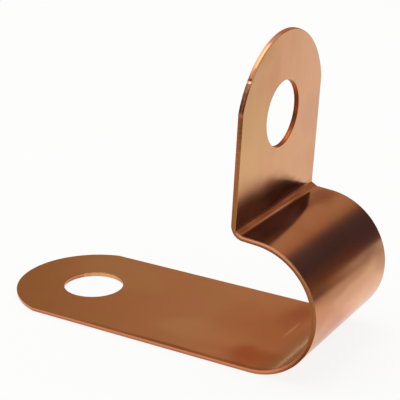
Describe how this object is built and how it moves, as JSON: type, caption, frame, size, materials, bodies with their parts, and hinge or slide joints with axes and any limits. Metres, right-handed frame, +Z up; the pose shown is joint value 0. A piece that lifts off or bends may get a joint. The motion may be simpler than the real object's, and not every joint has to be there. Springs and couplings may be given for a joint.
{
  "type": "cable clamp",
  "caption": "Bent copper strip clamp: a flat base with a fixing hole, a round open loop that seats a cable, and an upright tab with a fixing hole.",
  "frame": {"origin": "centre of the base's hole, on the underside of the base", "axes": "+X along the base towards the loop, +Y across the strip along the cable, +Z up out of the base"},
  "size_m": [0.0382, 0.016, 0.031],
  "materials": {
    "copper": "bright rolled copper"
  },
  "bodies": {
    "root": {"clamp_strip": "copper"}
  },
  "joints": []
}
